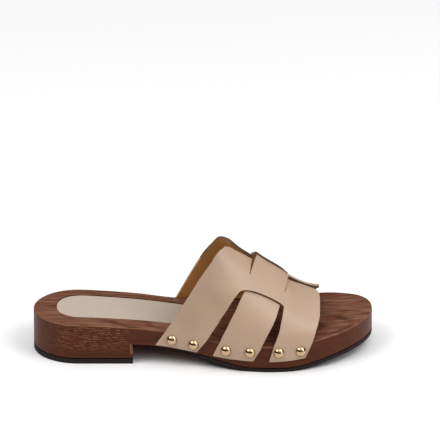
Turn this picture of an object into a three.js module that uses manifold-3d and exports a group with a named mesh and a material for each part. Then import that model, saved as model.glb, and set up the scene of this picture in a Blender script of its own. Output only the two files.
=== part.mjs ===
// Wooden slide sandal, right shoe: a carved wooden sole with a low block heel, a leather sock let into
// it, rubber under heel and forefoot, and an upper of interlaced leather straps held by domed nails.
// Millimetres, X from heel to toe, Y from the outer (lateral) side to the inner (medial) side, Z up.
import * as THREE from 'three';
import { ParametricGeometry } from 'three/addons/geometries/ParametricGeometry.js';
import { mergeVertices } from 'three/addons/utils/BufferGeometryUtils.js';
import Module from 'manifold-3d';

const wasm = await Module();
wasm.setup();

// Sole
const LENGTH = 255;
const HEEL_WIDTH = 64.6;
const BALL_WIDTH = 92.5;
const BALL_OUTER_SHARE = 0.51;
const HEEL_ROUND = 34;
const TOE_SHIFT = 8;
const HEEL_SEAT_HEIGHT = 31.9;
const BALL_SEAT_HEIGHT = 20.6;
const TOE_SEAT_HEIGHT = 27.8;
const WAIST_RISE = 12.5;
const TOE_SPRING = 9.2;
const HEEL_BLOCK_LENGTH = 75;
const EDGE_CHAMFER = 0.9;

// Rubber
const LIFT_THICKNESS = 4;
const TREAD_THICKNESS = 2.8;
const TREAD_LENGTH = 131;
const TREAD_THIN_END = 2.5;
const TREAD_TAPER = 26;

// Sock
const SOCK_LENGTH = 119;
const SOCK_WIDTH = 40;
const SOCK_HEEL_MARGIN = 17.3;
const SOCK_THICKNESS = 1.6;
const SOCK_SINK = 0.5;

// Upper
const LEATHER = 2;
const INSTEP_HEIGHT = 97;
const STRAP_LAP = 10.5;
const SPRING_DROP = 0.5;
const SIDE_POWER = 1.35;
const BOND = 0.2;

// Nails
const STUD_DIAMETER = 8.2;
const STUD_HEIGHT = 3.2;
const STUD_DROP = 5;
const SHANK_DIAMETER = 2;
const SHANK_LENGTH = 12;

// Gap kept between pieces that touch
const CLEARANCE = 0.3;

const LATERAL = -1;
const MEDIAL = 1;
const EPSILON = 1e-4;

// Plan of the sole: how far its half width has gone from the heel's (0) to the ball's (1)
const PLAN = [
  { along: 0.133, lateral: 0, medial: 0 },
  { along: 0.304, lateral: 0, medial: -0.1 },
  { along: 0.39, lateral: 0.08, medial: -0.21 },
  { along: 0.5, lateral: 0.42, medial: 0.02 },
  { along: 0.586, lateral: 0.79, medial: 0.45 },
  { along: 0.65, lateral: 0.95, medial: 0.79 },
  { along: 0.7, lateral: 1, medial: 0.94 },
  { along: 0.743, lateral: 1, medial: 1 },
];

// Where the round front of each side starts, and how square it is
const FRONT = {
  [LATERAL]: { from: 0.7, power: 1.9 },
  [MEDIAL]: { from: 0.743, power: 2.6 },
};

// Side profile: the seat's height from the ball's to the heel's, or to the toe's past the ball, and the
// underside's rise over the forefoot as shares of the waist's rise behind and of the toe spring ahead
const PROFILE = [
  { along: 0, heel: 1, toe: 0, waist: 1, spring: 0 },
  { along: 0.147, heel: 0.973, toe: 0, waist: 1, spring: 0 },
  { along: 0.194, heel: 0.93, toe: 0, waist: 1, spring: 0 },
  { along: 0.3, heel: 0.78, toe: 0, waist: 1, spring: 0 },
  { along: 0.359, heel: 0.65, toe: 0, waist: 0.93, spring: 0 },
  { along: 0.418, heel: 0.49, toe: 0, waist: 0.79, spring: 0 },
  { along: 0.453, heel: 0.38, toe: 0, waist: 0.7, spring: 0 },
  { along: 0.492, heel: 0.275, toe: 0, waist: 0.57, spring: 0 },
  { along: 0.563, heel: 0.09, toe: 0, waist: 0.25, spring: 0 },
  { along: 0.618, heel: 0.02, toe: 0, waist: 0.03, spring: 0 },
  { along: 0.65, heel: 0, toe: 0, waist: 0, spring: 0 },
  { along: 0.7, heel: 0, toe: 0, waist: 0, spring: 0 },
  { along: 0.76, heel: 0, toe: 0.085, waist: 0, spring: 0 },
  { along: 0.79, heel: 0, toe: 0.2, waist: 0, spring: 0.08 },
  { along: 0.822, heel: 0, toe: 0.3, waist: 0, spring: 0.24 },
  { along: 0.865, heel: 0, toe: 0.5, waist: 0, spring: 0.48 },
  { along: 0.912, heel: 0, toe: 0.67, waist: 0, spring: 0.72 },
  { along: 0.967, heel: 0, toe: 0.89, waist: 0, spring: 0.91 },
  { along: 1, heel: 0, toe: 1, waist: 0, spring: 1 },
];

// The last under the straps: its ridge as a share of the instep height, and how full each side is
const INSTEP = [
  { along: 0.343, ridge: 0.948, lateral: 1.35, medial: 1.35 },
  { along: 0.422, ridge: 0.955, lateral: 1.35, medial: 1.35 },
  { along: 0.461, ridge: 0.963, lateral: 1.37, medial: 1.37 },
  { along: 0.492, ridge: 0.979, lateral: 1.4, medial: 1.4 },
  { along: 0.52, ridge: 0.994, lateral: 1.43, medial: 1.43 },
  { along: 0.539, ridge: 0.981, lateral: 1.45, medial: 1.45 },
  { along: 0.565, ridge: 0.92, lateral: 1.6, medial: 1.58 },
  { along: 0.597, ridge: 0.833, lateral: 1.8, medial: 1.68 },
  { along: 0.651, ridge: 0.712, lateral: 2.0, medial: 1.65 },
  { along: 0.696, ridge: 0.632, lateral: 2.05, medial: 1.47 },
  { along: 0.735, ridge: 0.573, lateral: 2.1, medial: 1.38 },
  { along: 0.769, ridge: 0.529, lateral: 2.1, medial: 1.3 },
  { along: 0.798, ridge: 0.501, lateral: 2.1, medial: 1.28 },
  { along: 0.829, ridge: 0.477, lateral: 2.1, medial: 1.28 },
  { along: 0.873, ridge: 0.457, lateral: 2.1, medial: 1.28 },
];

// Cut lines of one piece of the upper, by level: 0 on the ridge, 1 at the edge of the seat, 2 at the
// leg's lower end. The slits carry on the keyhole's two sides towards the ridge.
const CUTS = {
  [LATERAL]: [
    { level: 0, back: 0.572, slitBack: 0.6445, slitFront: 0.7455, front: 0.838 },
    { level: 0.2, back: 0.562, slitBack: 0.638, slitFront: 0.7395, front: 0.841 },
    { level: 0.25, back: 0.556, slitBack: 0.636, slitFront: 0.7378, front: 0.842 },
    { level: 0.3, back: 0.546, slitBack: 0.6335, slitFront: 0.737, front: 0.843 },
    { level: 0.36, back: 0.534, slitBack: 0.6305, slitFront: 0.7345, front: 0.843 },
    { level: 0.42, back: 0.521, slitBack: 0.622, slitFront: 0.735, front: 0.843 },
    { level: 0.52, back: 0.489, slitBack: 0.6095, slitFront: 0.734, front: 0.8425 },
    { level: 0.6, back: 0.466, slitBack: 0.593, slitFront: 0.7328, front: 0.8415 },
    { level: 0.7, back: 0.439, slitBack: 0.571, slitFront: 0.729, front: 0.837 },
    { level: 0.8, back: 0.417, slitBack: 0.5445, slitFront: 0.7245, front: 0.831 },
    { level: 0.9, back: 0.398, slitBack: 0.5235, slitFront: 0.7162, front: 0.8245 },
    { level: 0.95, back: 0.3918, slitBack: 0.5162, slitFront: 0.7115, front: 0.821 },
    { level: 1, back: 0.388, slitBack: 0.5112, slitFront: 0.707, front: 0.8175 },
    { level: 1.1, back: 0.3855, slitBack: 0.5084, slitFront: 0.7059, front: 0.8155 },
    { level: 2, back: 0.362, slitBack: 0.483, slitFront: 0.695, front: 0.798 },
  ],
  [MEDIAL]: [
    { level: 0, back: 0.572, slitBack: 0.6445, slitFront: 0.7455, front: 0.838 },
    { level: 0.2, back: 0.564, slitBack: 0.638, slitFront: 0.7395, front: 0.841 },
    { level: 0.25, back: 0.557, slitBack: 0.636, slitFront: 0.7378, front: 0.842 },
    { level: 0.3, back: 0.5465, slitBack: 0.6335, slitFront: 0.737, front: 0.843 },
    { level: 0.36, back: 0.5355, slitBack: 0.6305, slitFront: 0.7345, front: 0.843 },
    { level: 0.42, back: 0.525, slitBack: 0.622, slitFront: 0.735, front: 0.843 },
    { level: 0.52, back: 0.4995, slitBack: 0.611, slitFront: 0.734, front: 0.842 },
    { level: 0.6, back: 0.4805, slitBack: 0.597, slitFront: 0.733, front: 0.841 },
    { level: 0.7, back: 0.4605, slitBack: 0.577, slitFront: 0.73, front: 0.837 },
    { level: 0.8, back: 0.443, slitBack: 0.556, slitFront: 0.725, front: 0.832 },
    { level: 0.9, back: 0.4285, slitBack: 0.54, slitFront: 0.717, front: 0.8265 },
    { level: 0.95, back: 0.4232, slitBack: 0.5345, slitFront: 0.7122, front: 0.8238 },
    { level: 1, back: 0.42, slitBack: 0.531, slitFront: 0.7075, front: 0.821 },
    { level: 1.1, back: 0.4177, slitBack: 0.5288, slitFront: 0.706, front: 0.8192 },
    { level: 2, back: 0.396, slitBack: 0.508, slitFront: 0.6935, front: 0.803 },
  ],
};

// The middle leg: the end of the other piece's tongue, which comes out under the keyhole
const MIDDLE_LEG = [
  { level: 0.4, back: 0.632, front: 0.738 },
  { level: 0.54, back: 0.6175, front: 0.7225 },
  { level: 0.61, back: 0.608, front: 0.7175 },
  { level: 0.69, back: 0.597, front: 0.7105 },
  { level: 0.76, back: 0.5845, front: 0.7025 },
  { level: 0.83, back: 0.572, front: 0.693 },
  { level: 0.9, back: 0.5595, front: 0.6835 },
  { level: 0.95, back: 0.5532, front: 0.677 },
  { level: 1, back: 0.5485, front: 0.671 },
  { level: 1.1, back: 0.5466, front: 0.6687 },
  { level: 2, back: 0.5305, front: 0.648 },
];

// Upper ends of the two ears of a piece, across each ear from its back to its front
const EAR_TOPS = {
  [LATERAL]: [
    { across: 0, rear: 0.225, fore: 0.055 },
    { across: 0.1, rear: 0.193, fore: 0.05 },
    { across: 0.2, rear: 0.172, fore: 0.046 },
    { across: 0.33, rear: 0.157, fore: 0.042 },
    { across: 0.5, rear: 0.13, fore: 0.04 },
    { across: 0.67, rear: 0.104, fore: 0.05 },
    { across: 0.84, rear: 0.079, fore: 0.075 },
    { across: 0.94, rear: 0.064, fore: 0.11 },
    { across: 1, rear: 0.055, fore: 0.19 },
  ],
  [MEDIAL]: [
    { across: 0, rear: 0.246, fore: 0.1 },
    { across: 0.1, rear: 0.165, fore: 0.1 },
    { across: 0.2, rear: 0.13, fore: 0.1 },
    { across: 0.33, rear: 0.118, fore: 0.1 },
    { across: 0.5, rear: 0.118, fore: 0.1 },
    { across: 0.67, rear: 0.115, fore: 0.105 },
    { across: 0.84, rear: 0.105, fore: 0.12 },
    { across: 0.94, rear: 0.1, fore: 0.15 },
    { across: 1, rear: 0.1, fore: 0.2 },
  ],
};

// Keyhole: the level of its two upper corners and of its crown
const KEYHOLE_CORNER_SHARE = 0.55;
const KEYHOLE_CROWN_SHARE = 0.484;
const KEYHOLE_RIM_SHARE = 0.15;

// How high the leather lies over the last, in leather thicknesses: the tongue and what it runs into in
// the middle of a piece, and the edge of the ears beside it
const HEIGHTS = {
  [LATERAL]: [
    { level: 0, middle: 2, ear: 0 },
    { level: 0.055, middle: 2, ear: 0 },
    { level: 0.15, middle: 1.75, ear: 0.25 },
    { level: 0.25, middle: 1.45, ear: 0.65 },
    { level: 0.345, middle: 1.15, ear: 1.15 },
    { level: 0.48, middle: 1, ear: 1 },
    { level: 0.56, middle: 1, ear: 1 },
    { level: 0.68, middle: 1, ear: 0.45 },
    { level: 0.8, middle: 1, ear: 0 },
    { level: 2, middle: 1, ear: 0 },
  ],
  [MEDIAL]: [
    { level: 0, middle: 2.6, ear: 0.5 },
    { level: 0.1, middle: 2.55, ear: 0.5 },
    { level: 0.2, middle: 2.05, ear: 0.7 },
    { level: 0.345, middle: 1.35, ear: 1.1 },
    { level: 0.48, middle: 1, ear: 1 },
    { level: 0.56, middle: 1, ear: 1 },
    { level: 0.68, middle: 1, ear: 0.45 },
    { level: 0.8, middle: 1, ear: 0 },
    { level: 2, middle: 1, ear: 0 },
  ],
};

// How much of the middle's rise over the ridge is left towards its front edge
const MIDDLE_FALL = [
  { across: 0, left: 1 },
  { across: 0.55, left: 1 },
  { across: 0.8, left: 0.8 },
  { across: 0.92, left: 0.5 },
  { across: 1, left: 0.3 },
];

// Level on the inner side at which the tongue runs in under the other piece
const SLOT_SHARE = 0.1;
// Upper and lower end of the slits on the outer side
const SLIT_TOP_SHARE = EAR_TOPS[LATERAL].at(-1).rear;
const SLIT_END_SHARE = 0.345;

// Nails, two in each leg: how far along on each side, and how low as a share of the usual drop
const STUDS = [
  { lateral: 0.41, medial: 0.432, low: 1 },
  { lateral: 0.474, medial: 0.49, low: 1.08 },
  { lateral: 0.5695, medial: 0.5695, low: 0.92 },
  { lateral: 0.639, medial: 0.639, low: 0.8 },
  { lateral: 0.723, medial: 0.725, low: 0.78 },
  { lateral: 0.786, medial: 0.789, low: 1 },
];

const COLOURS = {
  wood: { color: 0x5a3322, roughness: 0.5, metalness: 0 },
  rubber: { color: 0x1f1e1d, roughness: 0.75, metalness: 0 },
  sock: { color: 0xc8b8a6, roughness: 0.6, metalness: 0 },
  leather: { color: 0xc2a78e, roughness: 0.45, metalness: 0 },
  gold: { color: 0xd9b27c, roughness: 0.2, metalness: 1 },
};

// Smooth, unwavering curve through one column of a table
function read(rows, key, column, at) {
  const last = rows.length - 1;
  if (at <= rows[0][key]) return rows[0][column];
  if (at >= rows[last][key]) return rows[last][column];
  const step = (i) => rows[i + 1][key] - rows[i][key];
  const slope = (i) => (rows[i + 1][column] - rows[i][column]) / step(i);
  const tangent = (i) => {
    if (i === 0) return slope(0);
    if (i === last) return slope(last - 1);
    if (slope(i - 1) * slope(i) <= 0) return 0;
    const before = step(i) * 2 + step(i - 1);
    const after = step(i - 1) * 2 + step(i);
    return (before + after) / (before / slope(i - 1) + after / slope(i));
  };
  const i = rows.findIndex((row, k) => k < last && at < rows[k + 1][key]);
  const t = (at - rows[i][key]) / step(i);
  const hermite = [
    (1 + 2 * t) * (1 - t) ** 2,
    step(i) * t * (1 - t) ** 2,
    t * t * (3 - 2 * t),
    step(i) * t * t * (t - 1),
  ];
  return hermite[0] * rows[i][column] + hermite[1] * tangent(i)
    + hermite[2] * rows[i + 1][column] + hermite[3] * tangent(i + 1);
}

const alongOf = (x) => x / LENGTH + 0.5;
const stationOf = (along) => (along - 0.5) * LENGTH;
const mix = (a, b, t) => a + (b - a) * t;
const steps = (count, of = (t) => t) => Array.from({ length: count + 1 }, (_, i) => of(i / count));
const easeEnds = (t) => (1 - Math.cos(Math.PI * t)) / 2;

function halfWidthAtBall(side) {
  return BALL_WIDTH * (side === LATERAL ? BALL_OUTER_SHARE : 1 - BALL_OUTER_SHARE);
}

// Y of the sole's edge at a station, negative on the outer side
function edgeOfSole(x, side) {
  const column = side === LATERAL ? 'lateral' : 'medial';
  const { from, power } = FRONT[side];
  const heelRoundFrom = HEEL_ROUND - LENGTH / 2;
  if (x < heelRoundFrom) {
    const reach = Math.min(1, (heelRoundFrom - x) / HEEL_ROUND);
    return side * HEEL_WIDTH / 2 * Math.sqrt(1 - reach ** 2);
  }
  const width = mix(HEEL_WIDTH / 2, halfWidthAtBall(side), read(PLAN, 'along', column, alongOf(x)));
  if (alongOf(x) < from) return side * width;
  const reach = Math.min(1, (alongOf(x) - from) / (1 - from));
  return TOE_SHIFT + (side * width - TOE_SHIFT) * (1 - reach ** power) ** (1 / power);
}

function seatHeight(x) {
  const heel = read(PROFILE, 'along', 'heel', alongOf(x)) * (HEEL_SEAT_HEIGHT - BALL_SEAT_HEIGHT);
  const toe = read(PROFILE, 'along', 'toe', alongOf(x)) * (TOE_SEAT_HEIGHT - BALL_SEAT_HEIGHT);
  return BALL_SEAT_HEIGHT + heel + toe;
}

// Underside of the wood ahead of the heel block
function woodUnderside(x) {
  const rise = read(PROFILE, 'along', 'waist', alongOf(x)) * WAIST_RISE
    + read(PROFILE, 'along', 'spring', alongOf(x)) * TOE_SPRING;
  return TREAD_THICKNESS + CLEARANCE + rise;
}

const treadFrom = LENGTH / 2 - TREAD_LENGTH;
const breast = HEEL_BLOCK_LENGTH - LENGTH / 2;

function treadUnderside(x) {
  const full = THREE.MathUtils.smoothstep(x, treadFrom, treadFrom + TREAD_TAPER);
  return woodUnderside(x) - CLEARANCE - mix(TREAD_THIN_END, TREAD_THICKNESS, full);
}

// A closed mesh as a solid for joining and cutting
function solid(geometry) {
  const bare = geometry.clone();
  bare.deleteAttribute('normal');
  bare.deleteAttribute('uv');
  const merged = mergeVertices(bare, EPSILON);
  const index = merged.index.array;
  const kept = [];
  for (let i = 0; i < index.length; i += 3) {
    const [a, b, c] = index.subarray(i, i + 3);
    if (a !== b && b !== c && c !== a) kept.push(a, b, c);
  }
  return new wasm.Manifold(new wasm.Mesh({
    numProp: 3,
    vertProperties: new Float32Array(merged.attributes.position.array),
    triVerts: new Uint32Array(kept),
  }));
}

function geometryOf(body) {
  const { vertProperties, triVerts } = body.getMesh();
  const geometry = new THREE.BufferGeometry();
  geometry.setAttribute('position', new THREE.BufferAttribute(vertProperties, 3));
  geometry.setIndex(new THREE.BufferAttribute(triVerts, 1));
  geometry.computeVertexNormals();
  return geometry;
}

function piece(name, geometry, look) {
  const mesh = new THREE.Mesh(geometry, new THREE.MeshStandardMaterial(COLOURS[look]));
  mesh.name = name;
  return mesh;
}

// Upright prism over a closed outline in plan
function planPrism(outline, from, to) {
  const shape = new THREE.Shape(outline);
  const geometry = new THREE.ExtrudeGeometry(shape, { depth: to - from, bevelEnabled: false });
  return solid(geometry.translate(0, 0, from));
}

// Prism across the shoe over a closed outline in side view
function sidePrism(outline) {
  const shape = new THREE.Shape(outline);
  const geometry = new THREE.ExtrudeGeometry(shape, { depth: 2 * BALL_WIDTH, bevelEnabled: false });
  return solid(geometry.rotateX(Math.PI / 2).translate(0, BALL_WIDTH, 0));
}

// Outline of the sole in plan, counterclockwise, closer points on the round ends
function soleOutline() {
  const heel = steps(10, (t) => -LENGTH / 2 + HEEL_ROUND * (1 - Math.cos(Math.PI / 2 * t)));
  const side = (from) => steps(14, (t) => mix(heel.at(-1), stationOf(from), t)).slice(1);
  const toe = (from) => {
    const length = LENGTH / 2 - stationOf(from);
    return steps(14, (t) => stationOf(from) + length * Math.sin(Math.PI / 2 * t)).slice(1);
  };
  const row = (which) => [...heel, ...side(FRONT[which].from), ...toe(FRONT[which].from)]
    .map((x) => new THREE.Vector2(x, edgeOfSole(x, which)));
  return [...row(LATERAL), ...row(MEDIAL).slice(1, -1).reverse()];
}

// Side profile of the wood with its heel block, counterclockwise
function woodProfile() {
  const past = LENGTH / 2 + 1;
  const heelBase = LIFT_THICKNESS + CLEARANCE;
  const under = steps(34, (t) => mix(breast, LENGTH / 2, t));
  const seat = steps(38, (t) => mix(LENGTH / 2, -LENGTH / 2, t));
  return [
    new THREE.Vector2(-past, heelBase),
    new THREE.Vector2(breast, heelBase),
    ...under.map((x) => new THREE.Vector2(x, woodUnderside(x))),
    new THREE.Vector2(past, woodUnderside(LENGTH / 2)),
    new THREE.Vector2(past, seatHeight(LENGTH / 2)),
    ...seat.map((x) => new THREE.Vector2(x, seatHeight(x))),
    new THREE.Vector2(-past, seatHeight(-LENGTH / 2)),
  ];
}

function treadProfile() {
  const past = LENGTH / 2 + 1;
  const stations = steps(30, (t) => mix(treadFrom, LENGTH / 2, t));
  const under = stations.map((x) => new THREE.Vector2(x, treadUnderside(x)));
  const top = stations.map((x) => new THREE.Vector2(x, woodUnderside(x) - CLEARANCE)).reverse();
  const end = [
    new THREE.Vector2(past, treadUnderside(LENGTH / 2)),
    new THREE.Vector2(past, woodUnderside(LENGTH / 2) - CLEARANCE),
  ];
  return [...under, ...end, ...top];
}

function liftProfile() {
  const past = LENGTH / 2 + 1;
  return [
    new THREE.Vector2(-past, 0),
    new THREE.Vector2(breast - EDGE_CHAMFER, 0),
    new THREE.Vector2(breast, EDGE_CHAMFER),
    new THREE.Vector2(breast, LIFT_THICKNESS),
    new THREE.Vector2(-past, LIFT_THICKNESS),
  ];
}

// Plan of the sock, rounder at the heel than under the straps, grown by a margin
function sockOutline(margin) {
  const from = SOCK_HEEL_MARGIN - LENGTH / 2 - margin;
  const to = SOCK_HEEL_MARGIN - LENGTH / 2 + SOCK_LENGTH + margin;
  const round = SOCK_WIDTH / 2 + margin;
  const centre = (x) => mix(SOCK_WIDTH * 0.068, SOCK_WIDTH * 0.02, (x - from) / (to - from));
  const half = (x) => {
    const width = mix(SOCK_WIDTH / 2, SOCK_WIDTH * 0.44, (x - from) / (to - from)) + margin;
    const reach = Math.max(0, (from + round - x) / round, (x - to + round) / round);
    const power = x < from + round ? 2.2 : 2;
    return width * (1 - Math.min(1, reach) ** power) ** (1 / power);
  };
  const ends = steps(8, (t) => 1 - Math.cos(Math.PI / 2 * t));
  const stations = [
    ...ends.map((t) => from + round * t),
    ...steps(6, (t) => mix(from + round, to - round, t)).slice(1, -1),
    ...ends.map((t) => to - round * t).reverse(),
  ];
  const side = (sign) => stations.map((x) => new THREE.Vector2(x, centre(x) + sign * half(x)));
  return [...side(-1), ...side(1).slice(1, -1).reverse()];
}

// Slab that follows the seat between two depths below it
function seatSlab(shallow, deep) {
  const stations = steps(40, (t) => mix(-LENGTH / 2, LENGTH / 2, t));
  const lower = stations.map((x) => new THREE.Vector2(x, seatHeight(x) - deep));
  const upper = stations.map((x) => new THREE.Vector2(x, seatHeight(x) - shallow)).reverse();
  return sidePrism([...lower, ...upper]);
}

// Point of the last, or of a surface at a distance outside it. Girth runs from the outer side's leg end
// (-2) over the edge of the seat (-1) and the ridge (0) to the inner side's leg end (2).
function lastBase(x, girth) {
  const side = girth < 0 ? LATERAL : MEDIAL;
  const level = Math.abs(girth);
  const wall = side * edgeOfSole(x, side) + CLEARANCE;
  const spring = seatHeight(x) - SPRING_DROP;
  if (level >= 1) return new THREE.Vector3(x, side * wall, spring - (level - 1) * STRAP_LAP);
  const rise = read(INSTEP, 'along', 'ridge', alongOf(x)) * INSTEP_HEIGHT - spring;
  const fullness = read(INSTEP, 'along', side === LATERAL ? 'lateral' : 'medial', alongOf(x));
  const turn = (1 - level) * Math.PI / 2;
  const y = side * wall * Math.max(0, Math.cos(turn)) ** (2 / SIDE_POWER);
  return new THREE.Vector3(x, y, spring + rise * Math.sin(turn) ** (2 / fullness));
}

function lastNormal(x, girth) {
  const dx = 0.5;
  const dg = 0.01;
  const low = girth <= -1 ? girth - 2 * dg : girth >= 1 ? girth : girth - dg;
  const forward = lastBase(x + dx, girth).sub(lastBase(x - dx, girth));
  const over = lastBase(x, low + 2 * dg).sub(lastBase(x, low));
  return forward.cross(over).normalize();
}

function overLast(x, girth, distance) {
  return lastBase(x, girth).addScaledVector(lastNormal(x, girth), distance);
}

// Closed patch of leather: cell corners are set by two lists, and it lies between two distances
function patch(rows, columns, corner) {
  const around = 2 * columns.length;
  const along = rows.length + 2;
  const inside = (v, u) => {
    const back = u >= columns.length;
    const { x, girth, inner, outer } = corner(rows[v], columns[back ? around - 1 - u : u]);
    return { x, girth, inner, outer, back };
  };
  const place = (u, v, target) => {
    const i = Math.round(u * around) % around;
    const j = Math.round(v * (along - 1));
    const cap = j === 0 || j === along - 1;
    const { x, girth, inner, outer, back } = inside(THREE.MathUtils.clamp(j - 1, 0, rows.length - 1), i);
    const distance = cap ? (inner + outer) / 2 : back ? inner : outer;
    target.copy(overLast(x, girth, distance));
  };
  return solid(new ParametricGeometry(place, around, along - 1));
}

// Wall between two distances over the last, made of blocks of cells that share their edges; where
// neighbours lie at different distances the wall steps. Upright edges are split at every distance that
// any cell has there, so that the steps and sides meet corner to corner.
function steppedWall(blocks) {
  const corners = [];
  const edges = new Map();
  const stacks = new Map();
  const name = (spot) => `${spot.x.toFixed(3)} ${spot.girth.toFixed(5)}`;
  const round = (distance) => Number(distance.toFixed(3));
  const register = (spot) => {
    const node = { ...spot, name: name(spot), inner: round(spot.inner), outer: round(spot.outer) };
    if (!stacks.has(node.name)) stacks.set(node.name, new Map());
    const stack = stacks.get(node.name);
    for (const distance of [node.inner, node.outer]) {
      if (!stack.has(distance)) stack.set(distance, overLast(spot.x, spot.girth, distance));
    }
    return node;
  };
  const point = (node, distance) => stacks.get(node.name).get(distance);
  const upright = (node, from, to) => {
    const between = [...stacks.get(node.name).keys()]
      .filter((distance) => distance >= Math.min(from, to) && distance <= Math.max(from, to))
      .sort((one, other) => (to > from ? one - other : other - one));
    return between.map((distance) => point(node, distance));
  };
  const upstand = (left, right) => {
    let [i, j] = [0, 0];
    while (i + 1 < left.length || j + 1 < right.length) {
      if (j + 1 < right.length && (i + 1 === left.length || j <= i)) {
        corners.push(left[i], right[j], right[j + 1]);
        j += 1;
      } else {
        corners.push(left[i], right[j], left[i + 1]);
        i += 1;
      }
    }
  };
  const face = (cell, level) => {
    const [a, b, c, d] = cell.map((node) => point(node, node[level]));
    const split = a.distanceTo(c) < b.distanceTo(d) ? [a, b, c, a, c, d] : [b, c, d, b, d, a];
    corners.push(...split);
  };
  for (const { rows, columns, corner } of blocks) {
    const nodes = rows.map((row) => columns.map((column) => register(corner(row, column))));
    for (let i = 0; i + 1 < rows.length; i += 1) {
      for (let j = 0; j + 1 < columns.length; j += 1) {
        const cell = [nodes[i][j], nodes[i][j + 1], nodes[i + 1][j + 1], nodes[i + 1][j]];
        face(cell, 'outer');
        face([...cell].reverse(), 'inner');
        cell.forEach((from, k) => {
          const to = cell[(k + 1) % 4];
          const key = [from.name, to.name].sort().join('|');
          if (!edges.has(key)) edges.set(key, []);
          edges.get(key).push({ from, to });
        });
      }
    }
  }
  for (const [{ from, to }, other] of edges.values()) {
    if (!other) {
      upstand(upright(to, to.outer, to.inner), upright(from, from.outer, from.inner));
      continue;
    }
    const { from: otherTo, to: otherFrom } = other;
    upstand(upright(to, to.outer, otherTo.outer), upright(from, from.outer, otherFrom.outer));
    upstand(upright(to, otherTo.inner, to.inner), upright(from, otherFrom.inner, from.inner));
  }
  return solid(new THREE.BufferGeometry().setFromPoints(corners));
}

// Rows of cells up a leg, and from the keyhole's corners to the upper end of an ear
const legRows = [2, 1.5, 1, 0.94, 0.88, 0.82, 0.76, 0.7, 0.65, 0.6, KEYHOLE_CORNER_SHARE];
const earRows = steps(10);
const keyholeColumns = steps(14, easeEnds);
const bandColumns = [0, 0.05, 0.12, 0.22, 0.36, 0.5, 0.64, 0.78, 0.9, 1];

function keyholeLevel(across) {
  const drop = Math.sqrt(Math.max(0, 1 - (2 * across - 1) ** 2));
  return mix(KEYHOLE_CORNER_SHARE, KEYHOLE_CROWN_SHARE, drop);
}

function bandHeight(side, level, inward) {
  const near = THREE.MathUtils.smoothstep(inward, 0.3, 1);
  return LEATHER * near * read(HEIGHTS[side], 'level', 'ear', level);
}

// One of the two bands of a piece: a leg that runs up into an ear
function band(side, which) {
  const rear = which === 'rear';
  const [backCut, frontCut] = rear ? ['back', 'slitBack'] : ['slitFront', 'front'];
  const spot = (level, across) => {
    const back = read(CUTS[side], 'level', backCut, level);
    const front = read(CUTS[side], 'level', frontCut, level);
    const height = bandHeight(side, level, rear ? across : 1 - across);
    return {
      x: stationOf(mix(back, front, across)),
      girth: side * level,
      inner: height,
      outer: height + LEATHER,
    };
  };
  const top = (across) => read(EAR_TOPS[side], 'across', rear ? 'rear' : 'fore', across);
  const earLevel = (t, across) => mix(KEYHOLE_CORNER_SHARE, top(across), t);
  const columns = side === LATERAL ? bandColumns : [...bandColumns].reverse();
  return [
    { rows: legRows, columns, corner: spot },
    { rows: earRows, columns, corner: (t, across) => spot(earLevel(t, across), across) },
  ];
}

// Middle of a piece, from its keyhole to where the two pieces meet past the ridge
function middle(side, toLevel, rows) {
  const columns = side === LATERAL ? keyholeColumns : [...keyholeColumns].reverse();
  const corner = (t, across) => {
    const level = mix(keyholeLevel(across), toLevel, t);
    return crossingSpot(side, side * level, across);
  };
  return { rows, columns, corner };
}

function crossingSpot(piece, girth, across) {
  const level = Math.abs(girth);
  const side = girth < 0 ? LATERAL : MEDIAL;
  const back = read(CUTS[side], 'level', 'slitBack', level);
  const front = read(CUTS[side], 'level', 'slitFront', level);
  const rise = read(HEIGHTS[piece], 'level', 'middle', level) - 1;
  const height = 1 + rise * read(MIDDLE_FALL, 'across', 'left', across);
  const aboveCrown = THREE.MathUtils.smoothstep(KEYHOLE_CROWN_SHARE - level, 0, KEYHOLE_CROWN_SHARE);
  const filled = mix(-BOND, LEATHER / 2, aboveCrown);
  const rim = THREE.MathUtils.smoothstep(Math.min(across, 1 - across), 0, KEYHOLE_RIM_SHARE);
  const open = (1 - rim) * THREE.MathUtils.smoothstep(level, SLIT_END_SHARE, KEYHOLE_CROWN_SHARE);
  return {
    x: stationOf(mix(back, front, across)),
    girth,
    inner: mix(filled, height * LEATHER, open),
    outer: (height + 1) * LEATHER,
  };
}

function tongueOverRidge() {
  const rows = [-SLIT_TOP_SHARE, -SLIT_TOP_SHARE / 2, 0, SLOT_SHARE / 2, SLOT_SHARE];
  const corner = (girth, across) => crossingSpot(LATERAL, girth, across);
  return { rows, columns: keyholeColumns, corner };
}

function middleLeg(side) {
  const rows = [2, 1.5, 1, 0.94, 0.87, 0.8, 0.73, 0.66, 0.6, 0.54, 0.48, 0.42];
  const columns = side === LATERAL ? steps(7) : steps(7).reverse();
  return patch(rows, columns, (level, across) => ({
    x: stationOf(mix(
      read(MIDDLE_LEG, 'level', 'back', level),
      read(MIDDLE_LEG, 'level', 'front', level),
      across,
    )),
    girth: side * level,
    inner: 0,
    outer: LEATHER,
  }));
}

// Where a nail goes in, and its turn in plan so that it stands square to the edge
function nailTurn(x, side, low) {
  const run = 0.5;
  const slope = (edgeOfSole(x + run, side) - edgeOfSole(x - run, side)) / (2 * run);
  return { x, y: edgeOfSole(x, side), z: seatHeight(x) - low * STUD_DROP, turn: Math.atan2(side, -side * slope) };
}

function nailPlaces() {
  return [LATERAL, MEDIAL].flatMap((side) => STUDS.map((row, i) => {
    const column = side === LATERAL ? 'lateral' : 'medial';
    return { name: `stud_${column}_${i + 1}`, ...nailTurn(stationOf(row[column]), side, row.low) };
  }));
}

function alongNail(geometry, { x, y, z, turn }) {
  return geometry.rotateZ(-Math.PI / 2).rotateZ(turn).translate(x, y, z);
}

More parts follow.
